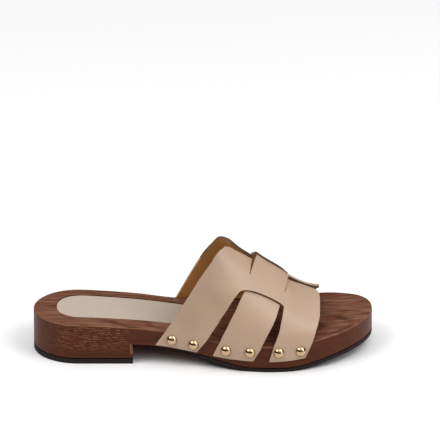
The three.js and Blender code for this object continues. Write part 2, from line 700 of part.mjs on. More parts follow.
// Hole for a nail through the leather and into the wood
function nailHole(place) {
  const radius = SHANK_DIAMETER / 2 + CLEARANCE;
  const outside = 2 * CLEARANCE + 3 * LEATHER;
  const depth = SHANK_LENGTH + 2 * CLEARANCE;
  const drill = new THREE.CylinderGeometry(radius, radius, outside + depth, 8);
  drill.translate(0, (outside - depth) / 2, 0);
  return solid(alongNail(drill, place));
}

function studGeometry(place) {
  const seat = 2 * CLEARANCE + LEATHER;
  const shank = SHANK_DIAMETER / 2;
  const rim = STUD_DIAMETER / 2;
  const dome = steps(4, (t) => new THREE.Vector2(
    rim * Math.cos(Math.PI / 2 * t),
    seat + 0.3 * LEATHER + (STUD_HEIGHT - 0.3 * LEATHER) * Math.sin(Math.PI / 2 * t),
  ));
  const profile = [
    new THREE.Vector2(0, -SHANK_LENGTH + seat),
    new THREE.Vector2(shank, -SHANK_LENGTH + seat + SHANK_DIAMETER),
    new THREE.Vector2(shank, seat),
    new THREE.Vector2(rim, seat),
    ...dome.slice(0, -1),
    new THREE.Vector2(0, seat + STUD_HEIGHT),
  ];
  return alongNail(new THREE.LatheGeometry(profile, 12), place);
}

function buildUpper(places) {
  const blocks = [LATERAL, MEDIAL].flatMap((side) => [...band(side, 'rear'), ...band(side, 'fore')]);
  blocks.push(middle(LATERAL, SLIT_TOP_SHARE, earRows));
  blocks.push(tongueOverRidge());
  blocks.push(middle(MEDIAL, SLOT_SHARE, earRows));
  const wall = steppedWall(blocks);
  const holes = places.map(nailHole);
  const joined = [middleLeg(LATERAL), middleLeg(MEDIAL)].reduce((sum, leg) => sum.add(leg), wall);
  return holes.reduce((rest, hole) => rest.subtract(hole), joined);
}

function buildWood(places) {
  const block = planPrism(soleOutline(), 0, INSTEP_HEIGHT).intersect(sidePrism(woodProfile()));
  const depth = SOCK_SINK + SOCK_THICKNESS + CLEARANCE;
  const recess = planPrism(sockOutline(CLEARANCE), 0, INSTEP_HEIGHT).intersect(seatSlab(-LEATHER, depth));
  return places.map(nailHole).reduce((rest, hole) => rest.subtract(hole), block.subtract(recess));
}

const places = nailPlaces();
const sole = planPrism(soleOutline(), -LIFT_THICKNESS, INSTEP_HEIGHT);
const sock = planPrism(sockOutline(0), 0, INSTEP_HEIGHT)
  .intersect(seatSlab(SOCK_SINK, SOCK_SINK + SOCK_THICKNESS));

const sandal = new THREE.Group();
sandal.add(piece('sole_wood', geometryOf(buildWood(places)), 'wood'));
sandal.add(piece('heel_lift', geometryOf(sole.intersect(sidePrism(liftProfile()))), 'rubber'));
sandal.add(piece('outsole', geometryOf(sole.intersect(sidePrism(treadProfile()))), 'rubber'));
sandal.add(piece('insole_sock', geometryOf(sock), 'sock'));
sandal.add(piece('upper', geometryOf(buildUpper(places)), 'leather'));
for (const place of places) sandal.add(piece(place.name, studGeometry(place), 'gold'));

// Origin under the middle of the shoe, on the floor
const box = new THREE.Box3().setFromObject(sandal);
const centre = box.getCenter(new THREE.Vector3());
sandal.position.set(-centre.x, -centre.y, -box.min.z);

export default sandal;
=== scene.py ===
"""Wooden slide sandal, dressed around its solids: wood, rubber, leather, lining and nails.

Metres, X from heel to toe, Y from the outer side to the inner side of the foot, Z up.
"""
import math

import bmesh
import bpy
from bpy.props import FloatProperty, FloatVectorProperty, PointerProperty
from mathutils import Matrix, Vector


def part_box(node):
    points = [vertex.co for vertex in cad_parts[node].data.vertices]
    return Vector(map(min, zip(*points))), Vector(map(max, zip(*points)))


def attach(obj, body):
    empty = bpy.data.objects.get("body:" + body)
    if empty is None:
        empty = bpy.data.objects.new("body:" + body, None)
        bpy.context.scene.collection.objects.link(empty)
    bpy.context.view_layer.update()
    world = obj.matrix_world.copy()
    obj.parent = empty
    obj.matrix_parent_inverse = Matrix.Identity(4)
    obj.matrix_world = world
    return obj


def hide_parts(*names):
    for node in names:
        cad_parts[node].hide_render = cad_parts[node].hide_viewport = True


bl_info = {
    "name": "Wooden slide sandal",
    "version": (1, 0, 0),
    "blender": (4, 5, 0),
    "location": "3D View > Sidebar > Sandal",
    "description": "Dresses a wooden slide sandal in wood, rubber, leather and nails",
    "category": "Object",
}

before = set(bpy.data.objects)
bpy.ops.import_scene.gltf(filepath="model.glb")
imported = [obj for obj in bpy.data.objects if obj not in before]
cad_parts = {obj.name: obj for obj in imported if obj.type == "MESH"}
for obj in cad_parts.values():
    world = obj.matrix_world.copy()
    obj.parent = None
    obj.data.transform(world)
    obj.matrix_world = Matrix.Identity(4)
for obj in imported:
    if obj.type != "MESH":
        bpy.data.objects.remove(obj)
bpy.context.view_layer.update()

MM = 0.001
NEAR = 0.001 * MM
LATERAL, MEDIAL = -1, 1
SIDES = {LATERAL: "lateral", MEDIAL: "medial"}

# Sole, measured on the solids where they show it
SOLE_LOW, SOLE_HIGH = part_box("sole_wood")
LIFT_LOW, LIFT_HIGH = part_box("heel_lift")
TREAD_LOW, TREAD_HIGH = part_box("outsole")
LENGTH = SOLE_HIGH.x - SOLE_LOW.x
BALL_WIDTH = SOLE_HIGH.y - SOLE_LOW.y
HEEL_WIDTH = LIFT_HIGH.y - LIFT_LOW.y
BALL_OUTER_SHARE = 0.51
MIDDLE_Y = SOLE_LOW.y + BALL_OUTER_SHARE * BALL_WIDTH
BREAST_X = LIFT_HIGH.x
HEEL_ROUND = 34 * MM
TOE_SHIFT = 8 * MM
HEEL_SEAT_HEIGHT = 31.9 * MM
BALL_SEAT_HEIGHT = 20.6 * MM
TOE_SEAT_HEIGHT = 27.8 * MM
WAIST_RISE = 12.5 * MM
TOE_SPRING = 9.2 * MM
TREAD_THICKNESS = 2.8 * MM
TREAD_THIN_END = 2.5 * MM
TREAD_TAPER = 26 * MM
CLEARANCE = 0.3 * MM

# Sock
SOCK_LENGTH = 119 * MM
SOCK_WIDTH = 40 * MM
SOCK_HEEL_MARGIN = 17.3 * MM
SOCK_THICKNESS = 1.6 * MM
SOCK_SINK = 0.5 * MM
SOCK_FRONT_SHARE = 0.88
SOCK_SHIFT_AT_HEEL = 0.068
SOCK_SHIFT_AT_FRONT = 0.02
SOCK_HEEL_POWER = 2.2
SOCK_FRONT_POWER = 2

# Upper
INSTEP_HEIGHT = 97 * MM
STRAP_LAP = 10.5 * MM
SPRING_DROP = 0.5 * MM
SIDE_POWER = 1.35
KEYHOLE_CORNER = 0.55
KEYHOLE_CROWN = 0.484
SLOT_LEVEL = 0.1
SLIT_TOP = 0.055
SLIT_END = 0.36
SLIT_GAP = 0.5 * MM
MIDDLE_LEG_TOP = 0.4
TONGUE_REACH = 0.34
GIRTH_SHARE = 0.62

# Nails
STUD_DROP = 5 * MM
STUD_DIAMETER = 8.2 * MM
STUD_HEIGHT = 3.2 * MM
STUD_RIM = 0.5 * MM
STUD_SKIRT = 0.7 * MM
STUD_LIFT = 0.4 * MM

# Small roundings, and how near points of one patch are welded to the next
RUBBER_EDGE = 0.6 * MM
SOCK_EDGE = 0.5 * MM
LEATHER_EDGE = 0.3 * MM
WELD = 0.12 * MM

# Where the pale flecks of the heel's sides come in and go out, along the shoe and above the floor
FLECKS_BEGIN = (-122 * MM, -100 * MM)
FLECKS_END = (-66 * MM, -46 * MM)
FLECKS_ABOVE = (6 * MM, 16 * MM)

# Leathers: name, the setting that holds the colour, roughness, grains in a metre, depth of the
# grain and how much the grain mottles the colour
LEATHERS = (
    ("strap leather", "leather_colour", 0.42, 1100, 0.05 * MM, 0.2),
    ("strap lining", "lining_colour", 0.7, 1600, 0.08 * MM, 0.4),
    # The two cut-edge looks are lit and shaded copies of one edge: the pale one a painted
    # highlight, the dark one painted shade.
    ("pale cut edge", "pale_edge_colour", 0.65, 2200, 0.1 * MM, 0.5),
    ("painted cut edge", "dark_edge_colour", 0.6, 2200, 0.1 * MM, 0.5),
)

# Where the sock gets darker towards the ball of the foot, as painted shade from the straps
SHADOW_ON_SOCK = (-62 * MM, -10 * MM)

# Stage: each light's place, size and the setting that holds its power
FLOOR_REACH = 6
LIGHTS_AIM = Vector((0, 0, 0.04))
LAMPS = (
    ("left main light", (-0.9, -0.5, 1.4), 0.95, "key_power"),
    ("right main light", (0.9, -0.5, 1.4), 0.95, "key_power"),
    ("side light", (1.5, -0.9, 0.7), 0.9, "fill_power"),
)
STUDIO_WALLS = ((0.36, 0.04), (0.8, 0.95), (1.0, 1.0))
BACKDROP = (1.3, 1.3, 1.3, 1.0)
SENSOR = 36
CAMERA_TARGET = Vector((12.84 * MM, MIDDLE_Y, 103.8 * MM))


class Course:
    """A smooth curve through a few places that never swings past them."""

    def __init__(self, spots):
        self.at = [spot[0] for spot in spots]
        self.value = [spot[1] for spot in spots]
        gaps = [b - a for a, b in zip(self.at, self.at[1:])]
        slopes = [(b - a) / gap for a, b, gap in zip(self.value, self.value[1:], gaps)]
        self.tangent = [slopes[0]]
        for i in range(1, len(slopes)):
            before, after = slopes[i - 1], slopes[i]
            if before * after <= 0:
                self.tangent.append(0.0)
                continue
            first = 2 * gaps[i] + gaps[i - 1]
            second = gaps[i] + 2 * gaps[i - 1]
            self.tangent.append((first + second) / (first / before + second / after))
        self.tangent.append(slopes[-1])

    def __call__(self, at):
        if at <= self.at[0]:
            return self.value[0]
        if at >= self.at[-1]:
            return self.value[-1]
        i = next(k for k in range(len(self.at) - 1) if at < self.at[k + 1])
        gap = self.at[i + 1] - self.at[i]
        t = (at - self.at[i]) / gap
        return (
            self.value[i] * (1 + 2 * t) * (1 - t) ** 2
            + self.tangent[i] * gap * t * (1 - t) ** 2
            + self.value[i + 1] * t * t * (3 - 2 * t)
            + self.tangent[i + 1] * gap * t * t * (t - 1)
        )


def courses(columns, *rows):
    """One curve for each column of a table, over its first column."""
    return {
        name: Course([(row[0], row[i + 1]) for row in rows])
        for i, name in enumerate(columns)
    }


# Plan: how far the half width has gone from the heel's (0) to the ball's (1)
PLAN = courses(
    ("lateral", "medial"),
    (0.133, 0, 0),
    (0.304, 0, -0.1),
    (0.39, 0.08, -0.21),
    (0.5, 0.42, 0.02),
    (0.586, 0.79, 0.45),
    (0.65, 0.95, 0.79),
    (0.7, 1, 0.94),
    (0.743, 1, 1),
)

# Where the round front of each side starts, and how square it is
FRONT = {LATERAL: (0.7, 1.9), MEDIAL: (0.743, 2.6)}

# Side view of the sole
PROFILE = courses(
    ("heel", "toe", "waist", "spring"),
    (0, 1, 0, 1, 0),
    (0.147, 0.973, 0, 1, 0),
    (0.194, 0.93, 0, 1, 0),
    (0.3, 0.78, 0, 1, 0),
    (0.359, 0.65, 0, 0.93, 0),
    (0.418, 0.49, 0, 0.79, 0),
    (0.453, 0.38, 0, 0.7, 0),
    (0.492, 0.275, 0, 0.57, 0),
    (0.563, 0.09, 0, 0.25, 0),
    (0.618, 0.02, 0, 0.03, 0),
    (0.65, 0, 0, 0, 0),
    (0.7, 0, 0, 0, 0),
    (0.76, 0, 0.085, 0, 0),
    (0.79, 0, 0.2, 0, 0.08),
    (0.822, 0, 0.3, 0, 0.24),
    (0.865, 0, 0.5, 0, 0.48),
    (0.912, 0, 0.67, 0, 0.72),
    (0.967, 0, 0.89, 0, 0.91),
    (1, 0, 1, 0, 1),
)

# The last under the straps: its ridge as a share of the instep height, and how full each side is
INSTEP = courses(
    ("ridge", "lateral", "medial"),
    (0.343, 0.948, 1.35, 1.35),
    (0.422, 0.955, 1.35, 1.35),
    (0.461, 0.963, 1.37, 1.37),
    (0.492, 0.979, 1.4, 1.4),
    (0.52, 0.994, 1.43, 1.43),
    (0.539, 0.981, 1.45, 1.45),
    (0.565, 0.92, 1.6, 1.58),
    (0.597, 0.833, 1.8, 1.68),
    (0.651, 0.712, 2, 1.65),
    (0.696, 0.632, 2.05, 1.47),
    (0.735, 0.573, 2.1, 1.38),
    (0.769, 0.529, 2.1, 1.3),
    (0.798, 0.501, 2.1, 1.28),
    (0.829, 0.477, 2.1, 1.28),
    (0.873, 0.457, 2.1, 1.28),
)

# Cut lines by level: 0 on the ridge, 1 at the edge of the seat, 2 at the leg's lower end
CUTS = {
    LATERAL: courses(
        ("back", "slit_back", "slit_front", "front"),
        (0, 0.572, 0.6445, 0.7455, 0.838),
        (0.2, 0.562, 0.638, 0.7395, 0.841),
        (0.25, 0.556, 0.636, 0.7378, 0.842),
        (0.3, 0.546, 0.6335, 0.737, 0.843),
        (0.36, 0.534, 0.6305, 0.7345, 0.843),
        (0.42, 0.521, 0.622, 0.735, 0.843),
        (0.52, 0.489, 0.6095, 0.734, 0.8425),
        (0.6, 0.466, 0.593, 0.7328, 0.8415),
        (0.7, 0.439, 0.571, 0.729, 0.837),
        (0.8, 0.417, 0.5445, 0.7245, 0.831),
        (0.9, 0.398, 0.5235, 0.7162, 0.8245),
        (0.95, 0.3918, 0.5162, 0.7115, 0.821),
        (1, 0.388, 0.5112, 0.707, 0.8175),
        (1.1, 0.3855, 0.5084, 0.7059, 0.8155),
        (2, 0.362, 0.483, 0.695, 0.798),
    ),
    MEDIAL: courses(
        ("back", "slit_back", "slit_front", "front"),
        (0, 0.572, 0.6445, 0.7455, 0.838),
        (0.2, 0.564, 0.638, 0.7395, 0.841),
        (0.25, 0.557, 0.636, 0.7378, 0.842),
        (0.3, 0.5465, 0.6335, 0.737, 0.843),
        (0.36, 0.5355, 0.6305, 0.7345, 0.843),
        (0.42, 0.525, 0.622, 0.735, 0.843),
        (0.52, 0.4995, 0.611, 0.734, 0.842),
        (0.6, 0.4805, 0.597, 0.733, 0.841),
        (0.7, 0.4605, 0.577, 0.73, 0.837),
        (0.8, 0.443, 0.556, 0.725, 0.832),
        (0.9, 0.4285, 0.54, 0.717, 0.8265),
        (0.95, 0.4232, 0.5345, 0.7122, 0.8238),
        (1, 0.42, 0.531, 0.7075, 0.821),
        (1.1, 0.4177, 0.5288, 0.706, 0.8192),
        (2, 0.396, 0.508, 0.6935, 0.803),
    ),
}

MIDDLE_LEG = courses(
    ("back", "front"),
    (0.4, 0.632, 0.738),
    (0.54, 0.6175, 0.7225),
    (0.61, 0.608, 0.7175),
    (0.69, 0.597, 0.7105),
    (0.76, 0.5845, 0.7025),
    (0.83, 0.572, 0.693),
    (0.9, 0.5595, 0.6835),
    (0.95, 0.5532, 0.677),
    (1, 0.5485, 0.671),
    (1.1, 0.5466, 0.6687),
    (2, 0.5305, 0.648),
)

# Upper ends of the ears, across each ear from its back to its front
EAR_TOPS = {
    LATERAL: courses(
        ("rear", "fore"),
        (0, 0.225, 0.055),
        (0.1, 0.193, 0.05),
        (0.2, 0.172, 0.046),
        (0.33, 0.157, 0.042),
        (0.5, 0.13, 0.04),
        (0.67, 0.104, 0.05),
        (0.84, 0.079, 0.075),
        (0.94, 0.064, 0.11),
        (1, 0.055, 0.19),
    ),
    MEDIAL: courses(
        ("rear", "fore"),
        (0, 0.246, 0.1),
        (0.1, 0.165, 0.1),
        (0.2, 0.13, 0.1),
        (0.33, 0.118, 0.1),
        (0.5, 0.118, 0.1),
        (0.67, 0.115, 0.105),
        (0.84, 0.105, 0.12),
        (0.94, 0.1, 0.15),
        (1, 0.1, 0.2),
    ),
}

# Height over the last in leather thicknesses
HEIGHTS = {
    LATERAL: courses(
        ("middle", "ear"),
        (0, 2, 0),
        (0.055, 2, 0),
        (0.15, 1.75, 0.25),
        (0.25, 1.45, 0.65),
        (0.345, 1.15, 1.15),
        (0.48, 1, 1),
        (0.56, 1, 1),
        (0.68, 1, 0.45),
        (0.8, 1, 0),
        (2, 1, 0),
    ),
    MEDIAL: courses(
        ("middle", "ear"),
        (0, 2.6, 0.5),
        (0.1, 2.55, 0.5),
        (0.2, 2.05, 0.7),
        (0.345, 1.35, 1.1),
        (0.48, 1, 1),
        (0.56, 1, 1),
        (0.68, 1, 0.45),
        (0.8, 1, 0),
        (2, 1, 0),
    ),
}
MIDDLE_FALL = Course([(0, 1), (0.55, 1), (0.8, 0.8), (0.92, 0.5), (1, 0.3)])
TONGUE_UNDER = Course(
    [(-SLIT_TOP, 2), (0.03, 1.95), (SLOT_LEVEL, 1.5), (0.2, 0.98), (TONGUE_REACH, 0.3)]
)

# Creases of the leather, alike on both sides: from where to where, along and by level, and their
# depth and half width in millimetres
CREASES = (
    (0.63, 0.37, 0.607, 0.5, 0.35, 2.6),
    (0.735, 0.36, 0.733, 0.5, 0.28, 2.4),
    (0.5, 0.3, 0.575, 0.56, 0.3, 5),
    (0.485, 0.62, 0.56, 0.74, 0.25, 5),
    (0.41, 0.9, 0.51, 0.97, 0.3, 3.2),
    (0.73, 0.9, 0.81, 0.9, 0.3, 3.2),
    (0.75, 0.62, 0.83, 0.55, 0.22, 5),
)

# Nails, two in each leg: how far along on each side, and how low as a share of the usual drop
STUDS = (
    (0.41, 0.432, 1),
    (0.474, 0.49, 1.08),
    (0.5695, 0.5695, 0.92),
    (0.639, 0.639, 0.8),
    (0.723, 0.725, 0.78),
    (0.786, 0.789, 1),
)


def mix(a, b, t):
    return a + (b - a) * t


def ease(at, low, high):
    """0 below low, 1 above high, smooth between."""
    t = min(1.0, max(0.0, (at - low) / (high - low)))
    return t * t * (3 - 2 * t)


def steps(low, high, count, of=lambda t: t):
    return [mix(low, high, of(i / count)) for i in range(count + 1)]


def along_of(x):
    return x / LENGTH + 0.5


def station_of(along):
    return (along - 0.5) * LENGTH


def edge_of_sole(x, side):
    """Y of the sole's edge, before the whole shoe is centred."""
    start, power = FRONT[side]
    round_from = HEEL_ROUND - LENGTH / 2
    if x < round_from:
        reach = min(1.0, (round_from - x) / HEEL_ROUND)
        return side * HEEL_WIDTH / 2 * math.sqrt(1 - reach**2)
    ball = BALL_WIDTH * (BALL_OUTER_SHARE if side == LATERAL else 1 - BALL_OUTER_SHARE)
    width = mix(HEEL_WIDTH / 2, ball, PLAN[SIDES[side]](along_of(x)))
    if along_of(x) < start:
        return side * width
    reach = min(1.0, (along_of(x) - start) / (1 - start))
    return TOE_SHIFT + (side * width - TOE_SHIFT) * (1 - reach**power) ** (1 / power)


def seat_height(x):
    at = along_of(x)
    return (
        BALL_SEAT_HEIGHT
        + PROFILE["heel"](at) * (HEEL_SEAT_HEIGHT - BALL_SEAT_HEIGHT)
        + PROFILE["toe"](at) * (TOE_SEAT_HEIGHT - BALL_SEAT_HEIGHT)
    )


def wood_underside(x):
    at = along_of(max(x, BREAST_X))
    rise = PROFILE["waist"](at) * WAIST_RISE + PROFILE["spring"](at) * TOE_SPRING
    return TREAD_THICKNESS + CLEARANCE + rise


def tread_underside(x):
    full = ease(x, TREAD_LOW.x, TREAD_LOW.x + TREAD_TAPER)
    return wood_underside(x) - CLEARANCE - mix(TREAD_THIN_END, TREAD_THICKNESS, full)


def last_base(x, girth):
    side = LATERAL if girth < 0 else MEDIAL
    level = abs(girth)
    wall = abs(edge_of_sole(x, side)) + CLEARANCE
    spring = seat_height(x) - SPRING_DROP
    if level >= 1:
        return Vector((x, side * wall, spring - (level - 1) * STRAP_LAP))
    rise = INSTEP["ridge"](along_of(x)) * INSTEP_HEIGHT - spring
    fullness = INSTEP[SIDES[side]](along_of(x))
    turn = (1 - level) * math.pi / 2
    y = side * wall * max(0.0, math.cos(turn)) ** (2 / SIDE_POWER)
    return Vector((x, y, spring + rise * math.sin(turn) ** (2 / fullness)))


def crease(x, girth):
    """How deep the leather is pressed in where it creases, deepest halfway along a crease."""
    girth_length = GIRTH_SHARE * INSTEP_HEIGHT
    deepest = 0
    spot = Vector((x, abs(girth) * girth_length))
    for along, level, to_along, to_level, depth, width in CREASES:
        start = Vector((station_of(along), level * girth_length))
        run = Vector((station_of(to_along), to_level * girth_length)) - start
        t = min(1.0, max(0.0, (spot - start).dot(run) / run.dot(run)))
        away = (spot - start - run * t).length / (width * MM)
        swell = 1 - 0.6 * abs(2 * t - 1)
        deepest = max(deepest, depth * MM * swell * math.exp(-away * away))
    return deepest


def over_last(x, girth, distance):
    """Point at a distance outside the last, in the place of the solids."""
    dx, dg = 0.5 * MM, 0.01
    low = girth - 2 * dg if girth <= -1 else girth if girth >= 1 else girth - dg
    forward = last_base(x + dx, girth) - last_base(x - dx, girth)
    over = last_base(x, low + 2 * dg) - last_base(x, low)
    normal = forward.cross(over).normalized()
    return last_base(x, girth) + normal * distance + Vector((0, MIDDLE_Y, 0))


# Looks


def paint(code):
    """Linear colour with alpha from a web colour such as C4A78E."""
    parts = [int(code[i : i + 2], 16) / 255 for i in (0, 2, 4)]
    return [p / 12.92 if p <= 0.04045 else ((p + 0.055) / 1.055) ** 2.4 for p in parts] + [1.0]


def shade(colour, by):
    """The same colour, darker or lighter."""
    return [min(1.0, c * by) for c in colour[:3]] + [1.0]


class Wire:
    """A number in a material, so that ordinary sums add its Math nodes."""

    def __init__(self, look, socket):
        self.look = look
        self.socket = socket

    def _sum(self, operation, *terms):
        return self.look.node("ShaderNodeMath", {"operation": operation}, dict(enumerate(terms)))

    def __add__(self, other):
        return self._sum("ADD", self, other)

    __radd__ = __add__

    def __sub__(self, other):
        return self._sum("SUBTRACT", self, other)

    def __rsub__(self, other):
        return self._sum("SUBTRACT", other, self)

    def __mul__(self, other):
        return self._sum("MULTIPLY", self, other)

    def __pow__(self, other):
        return self._sum("POWER", self, other)

    def sine(self):
        return self._sum("SINE", self)

    def between(self, low, high):
        """0 below low, 1 above high, smooth between."""
        return self.look.node(
            "ShaderNodeMapRange",
            {"interpolation_type": "SMOOTHSTEP"},
            {"Value": self, "From Min": low, "From Max": high},
        )


class Look:
    """A material, and the one way in which its nodes are added."""

    def __init__(self, name):
        self.material = bpy.data.materials.new(name)
        self.material.use_nodes = True
        self.tree = self.material.node_tree
        self.shader = self.tree.nodes["Principled BSDF"]
        self.place = self.node("ShaderNodeTexCoord", output="Object")

    def node(self, kind, settings=None, inputs=None, output=0):
        made = self.tree.nodes.new(kind)
        for key, value in (settings or {}).items():
            if key == "stops":
                self._stops(made.color_ramp, value)
            else:
                setattr(made, key, value)
        for key, value in (inputs or {}).items():
            self._feed(made.inputs[key], value)
        return Wire(self, made.outputs[output])

    def _stops(self, ramp, stops):
        while len(ramp.elements) < len(stops):
            ramp.elements.new(0.5)
        for element, (position, colour) in zip(ramp.elements, stops):
            element.position, element.color = position, colour

    def _feed(self, socket, value):
        if isinstance(value, Wire):
            self.tree.links.new(value.socket, socket)
        else:
            socket.default_value = value

    def set(self, **inputs):
        for key, value in inputs.items():
            self._feed(self.shader.inputs[key.replace("_", " ")], value)

    def noise(self, scale, detail, roughness, stretch=(1, 1, 1)):
        spread = self.node("ShaderNodeMapping", inputs={"Vector": self.place, "Scale": stretch})
        return self.node(
            "ShaderNodeTexNoise",
            inputs={"Vector": spread, "Scale": scale, "Detail": detail, "Roughness": roughness},
        )

    def ramp(self, value, *stops):
        return self.node("ShaderNodeValToRGB", {"stops": stops}, {0: value})

    def blend(self, factor, first, second):
        return self.node(
            "ShaderNodeMix", {"data_type": "RGBA"}, {0: factor, 6: first, 7: second}, output=2
        )

    def relief(self, height, depth, strength):
        inputs = {"Strength": strength, "Distance": depth, "Height": height}
        return self.node("ShaderNodeBump", inputs=inputs)

    def axis(self, name):
        return self.node("ShaderNodeSeparateXYZ", inputs={0: self.place}, output=name)

    def facing(self, name):
        geometry = self.node("ShaderNodeNewGeometry", output="Normal")
        return self.node("ShaderNodeSeparateXYZ", inputs={0: geometry}, output=name)


def wood_look(settings):
    """Wood cut along a trunk whose heart lies under the shoe, with painted light: its top lighter
    and greyer as painted sheen, its sides darker as painted shade, and pale along its rounded upper
    edges as a painted highlight.
    """
    look = Look("stained wood")
    level = look.facing("Z").between(0.3, 0.8)
    sway = look.noise(1, 2, 0.5, (9, 40, 40)) * 4 + look.noise(1, 2, 0.5, (75, 260, 260)) * 2.6
    heart_y, heart_z = look.axis("Y") - settings.heart_y, look.axis("Z") - settings.heart_z
    from_heart = (heart_y * heart_y + heart_z * heart_z) ** 0.5
    rings = (from_heart * (2 * math.pi / settings.ring_pitch) + sway).sine()
    patches = look.noise(1, 2, 0.5, (20, 70, 70))
    lines = rings.between(0.35, 0.95) * patches.between(0.25, 0.6)
    streaks = look.noise(1, 3, 0.55, (18, 300, 300))
    threads = look.noise(1, 2, 0.5, (70, 520, 520)).between(0.5, 0.66)
    ripple = look.noise(1, 2, 0.5, (150, 320, 320)) * 13
    rows = look.axis("Z") * (2 * math.pi / settings.fleck_pitch)
    waves = (rows + ripple).sine().between(0.5, 0.95)
    dashes = look.noise(1, 1, 0.5, (200, 420, 420)).between(0.4, 0.54)
    on_heel = look.axis("X").between(*FLECKS_BEGIN) * (1 - look.axis("X").between(*FLECKS_END))
    flecks = waves * dashes * on_heel * look.axis("Z").between(*FLECKS_ABOVE) * (1 - level)
    # Painted light: faces that turn sideways take the darker colours as painted shade, and faces
    # that turn up take the lighter, greyer ones as painted sheen.
    side = look.blend(streaks, settings.wood_dark_and_shade, settings.wood_middle)
    top = look.ramp(streaks, (0.3, settings.wood_middle), (0.7, settings.wood_light_and_sheen))
    base = look.blend(level, side, top)
    lined = look.blend(lines * (level * 0.5 + 0.1), base, settings.wood_dark_and_shade)
    threaded = look.blend(threads * (level * 0.3 + 0.1), lined, settings.wood_dark_and_shade)
    # Painted highlight: the rounded edges that turn up are painted pale, in patches, in the fleck
    # colour.
    outer_edge = look.facing("Z").between(0.2, 0.5)
    highlit = outer_edge * (1 - look.facing("Z").between(0.75, 0.97)) * patches
    look.set(
        Base_Color=look.blend(flecks * 0.38 + highlit * 0.4, threaded, settings.wood_fleck_and_highlight),
        Roughness=0.34 + streaks * 0.16 + level * 0.12,
        Specular_IOR_Level=0.16,
        Normal=look.relief(streaks * 0.4 - lines * 0.6, 0.1 * MM, 0.5),
    )
    return look.material


def rubber_look(settings, name, tread):
    """Matt rubber, with wavy ribs on its underside where it treads."""
    look = Look(name)
    crumb = look.noise(900, 3, 0.6)
    haze = look.noise(45, 2, 0.5)
    height = crumb * 0.25
    if tread:
        down = (look.facing("Z") * -1).between(0.6, 0.9)
        across = look.axis("Y") * (2 * math.pi / settings.tread_pitch)
        bend = (look.axis("X") * (2 * math.pi / (5 * settings.tread_pitch))).sine() * 1.6
        height = height + (across + bend).sine().between(-0.3, 0.3) * down
    dusty = shade(settings.rubber_colour, 1.7)
    look.set(
        Base_Color=look.blend(haze * 0.6, settings.rubber_colour, dusty),
        Roughness=0.5 + haze * 0.25,
        Specular_IOR_Level=0.2,
        Normal=look.relief(height, 0.5 * MM, 0.6),
    )
    return look.material


def leather_look(name, colour, roughness, grain, depth, mottle):
    look = Look(name)
    cloud = look.noise(16, 3, 0.5)
    pebble = look.noise(grain, 3, 0.55)
    cloudy = cloud * (1 - mottle) + pebble * mottle
    look.set(
        Base_Color=look.ramp(
            cloudy, (0.28, shade(colour, 0.8)), (0.5, colour), (0.75, shade(colour, 1.1))
        ),
        Roughness=roughness - 0.06 + pebble * 0.12,
        Normal=look.relief(pebble, depth, 0.35),
    )
    return look.material


def sock_look(settings):
    """Leather with painted shade: a little darker towards the ball of the foot, where the straps
    shade it.
    """
    look = Look("sock leather")
    cloud = look.noise(14, 3, 0.5)
    pebble = look.noise(900, 3, 0.55)
    # Painted shade: darker towards the straps, with a cloudy border.
    shadowed = (look.axis("X") + cloud * (30 * MM)).between(*SHADOW_ON_SOCK)
    cloudy = cloud * 0.75 + pebble * 0.25
    plain = look.ramp(cloudy, (0.3, shade(settings.sock_colour, 0.92)), (0.6, settings.sock_colour))
    look.set(
        Base_Color=look.blend(shadowed * 0.6, plain, settings.sock_in_shadow),
        Roughness=0.5 + pebble * 0.14,
        Normal=look.relief(pebble, 0.06 * MM, 0.35),
    )
    return look.material


def gold_look(settings):
    look = Look("polished gold")
    scuff = look.noise(380, 3, 0.6)
    gold = settings.gold_colour
    look.set(
        Base_Color=look.ramp(scuff, (0.2, gold), (0.9, shade(gold, 0.9))),
        Metallic=1.0,
        Roughness=0.06 + scuff * 0.06,
    )
    return look.material


def floor_look(settings):
    look = Look("pale floor")
    cloud = look.noise(3, 2, 0.5)
    floor = settings.floor_colour
    look.set(Base_Color=look.ramp(cloud, (0.0, floor), (1.0, shade(floor, 0.99))), Roughness=0.6)
    return look.material


# Shapes


def show(name, shape, *materials):
    """Makes a closed bmesh an object, with its faces turned outward."""
    bmesh.ops.recalc_face_normals(shape, faces=shape.faces)
    return keep(name, shape, *materials)


def keep(name, shape, *materials):
    """Makes a bmesh an object with its materials, shaded smooth."""
    mesh = bpy.data.meshes.new(name)
    shape.to_mesh(mesh)
    shape.free()
    for material in materials:
        mesh.materials.append(material)
    mesh.shade_smooth()
    thing = bpy.data.objects.new(name, mesh)
    bpy.context.scene.collection.objects.link(thing)
    return thing


def round_rim(shape, width, angle=40):
    """Rounds the sharp edges round a sole that has no recess yet, but not those at its breast."""
    shape.normal_update()
    sharp = [
        e
        for e in shape.edges
        if e.is_manifold
        and e.calc_face_angle_signed() > math.radians(angle)
        and not all(abs(v.co.x - BREAST_X) < 10 * NEAR for v in e.verts)
    ]
    bmesh.ops.bevel(
        shape,
        geom=sharp,
        offset=width,
        offset_type="OFFSET",
        affect="EDGES",
        segments=3,
        profile=0.5,
        material=-1,
    )


def steady_faces(thing, angle=45):
    """Shades broad faces flat up to their rounded edges."""
    thing.data.set_sharp_from_angle(angle=math.radians(angle))
    steady = thing.modifiers.new("steady faces", "WEIGHTED_NORMAL")
    steady.keep_sharp = True
    steady.weight = 90


def round_edges(thing, width, segments=3, angle=40):
    bevel = thing.modifiers.new("rounded edges", "BEVEL")
    bevel.width = width
    bevel.segments = segments
    bevel.limit_method = "ANGLE"
    bevel.angle_limit = math.radians(angle)
    bevel.harden_normals = True
    bevel.use_clamp_overlap = True


